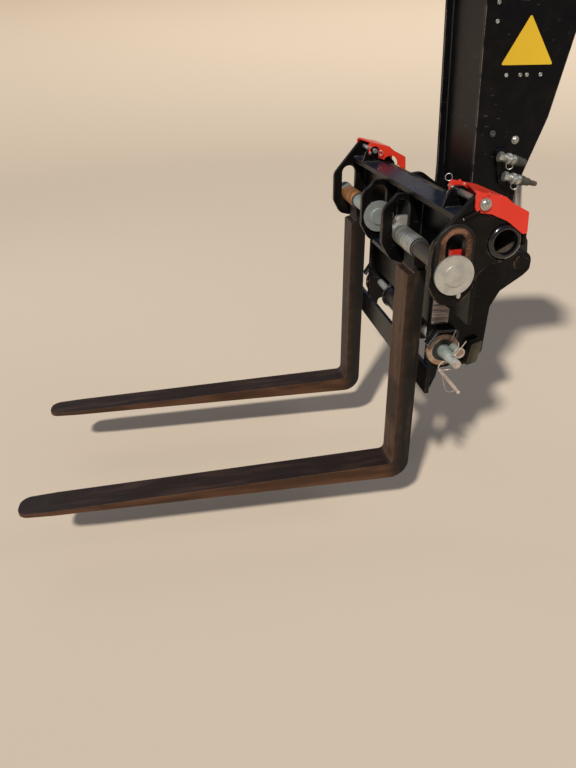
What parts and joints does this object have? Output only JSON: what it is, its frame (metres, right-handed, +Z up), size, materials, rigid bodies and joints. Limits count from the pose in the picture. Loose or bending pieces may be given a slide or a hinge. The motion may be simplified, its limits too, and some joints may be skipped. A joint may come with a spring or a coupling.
{
  "type": "telehandler boom head with fork carriage",
  "caption": "Head of a telehandler boom: nose, tilt cylinder, quick hitch, carriage with red latches and floating forks that swing on shafts.",
  "frame": {"origin": "centre of the cut end of the boom section, where the rest of the boom goes on", "axes": "+X forward along the fork blades, +Y to the machine's left, +Z up"},
  "size_m": [1.955, 1.083, 1.64],
  "materials": {
    "black_paint": "gloss black paint, dusty and scuffed",
    "fork_steel": "forged steel, dark oxide with brown rust",
    "shaft_steel": "zinc plated, dull",
    "zinc_steel": "zinc plated",
    "rusty_steel": "paint worn off, surface rust",
    "pin_steel": "turned steel, greased",
    "red_paint": "satin red paint",
    "chrome_rod": "hard chrome"
  },
  "bodies": {
    "boom_head": {"left_nose_side": "black_paint", "right_nose_side": "black_paint", "nose_front_plate": "black_paint", "nose_rear_plate": "black_paint", "boom_section": "black_paint", "nose_boss": "black_paint", "barrel_pin": "pin_steel", "coupler_bracket": "black_paint", "upper_coupler": "zinc_steel", "lower_coupler": "zinc_steel"},
    "carriage": {"left_outer_ear": "black_paint", "right_outer_ear": "black_paint", "left_inner_ear": "black_paint", "right_inner_ear": "black_paint", "left_leg": "black_paint", "right_leg": "black_paint", "left_boss": "rusty_steel", "right_boss": "rusty_steel", "left_pin_guard": "black_paint", "right_pin_guard": "black_paint", "left_latch": "red_paint", "right_latch": "red_paint", "left_latch_lug": "black_paint", "right_latch_lug": "black_paint", "left_latch_bolt": "zinc_steel", "right_latch_bolt": "zinc_steel", "left_hitch_side": "black_paint", "right_hitch_side": "black_paint", "left_tilt_lug": "black_paint", "right_tilt_lug": "black_paint", "slot_pad": "rusty_steel", "top_bar": "black_paint", "back_plate": "black_paint", "centre_web": "black_paint", "lower_rail": "black_paint", "lock_pin": "zinc_steel", "cross_tube": "black_paint", "hitch_front_plate": "black_paint", "lower_eye": "black_paint", "pivot_pin": "pin_steel", "tilt_lug_pins": "pin_steel"},
    "left_shaft": {"left_fork_shaft": "shaft_steel"},
    "left_fork": {"left_fork": "fork_steel"},
    "right_shaft": {"right_fork_shaft": "shaft_steel"},
    "right_fork": {"right_fork": "fork_steel"},
    "tilt_barrel": {"tilt_barrel": "black_paint"},
    "tilt_rod": {"tilt_rod": "chrome_rod"}
  },
  "joints": [
    {"name": "tilt", "type": "hinge", "parent": "boom_head", "child": "carriage", "pos_m": [0.472, 0, -0.691], "axis": [0, 1, 0], "range_deg": [-12, 85]},
    {"name": "barrel_swing", "type": "hinge", "parent": "boom_head", "child": "tilt_barrel", "pos_m": [0.425, 0, 0.009], "axis": [0, 1, 0], "range_deg": [-0.9, 6.4]},
    {"name": "rod_stroke", "type": "slide", "parent": "tilt_barrel", "child": "tilt_rod", "axis": [-0.1453, 0, -0.9894], "range_m": [-0.306, 0.0432]},
    {"name": "left_float", "type": "slide", "parent": "carriage", "child": "left_shaft", "axis": [0, 0, 1], "range_m": [0, 0.06]},
    {"name": "left_fork_swing", "type": "hinge", "parent": "left_shaft", "child": "left_fork", "pos_m": [0.736, 0, -0.705], "axis": [0, -1, 0], "range_deg": [0, 90]},
    {"name": "right_float", "type": "slide", "parent": "carriage", "child": "right_shaft", "axis": [0, 0, 1], "range_m": [0, 0.06]},
    {"name": "right_fork_swing", "type": "hinge", "parent": "right_shaft", "child": "right_fork", "pos_m": [0.736, 0, -0.705], "axis": [0, -1, 0], "range_deg": [0, 90]}
  ],
  "couplings": [
    {"joint": "barrel_swing", "follows": "tilt", "ratio": 0.075},
    {"joint": "rod_stroke", "follows": "tilt", "m_per_rad": -0.2059}
  ]
}
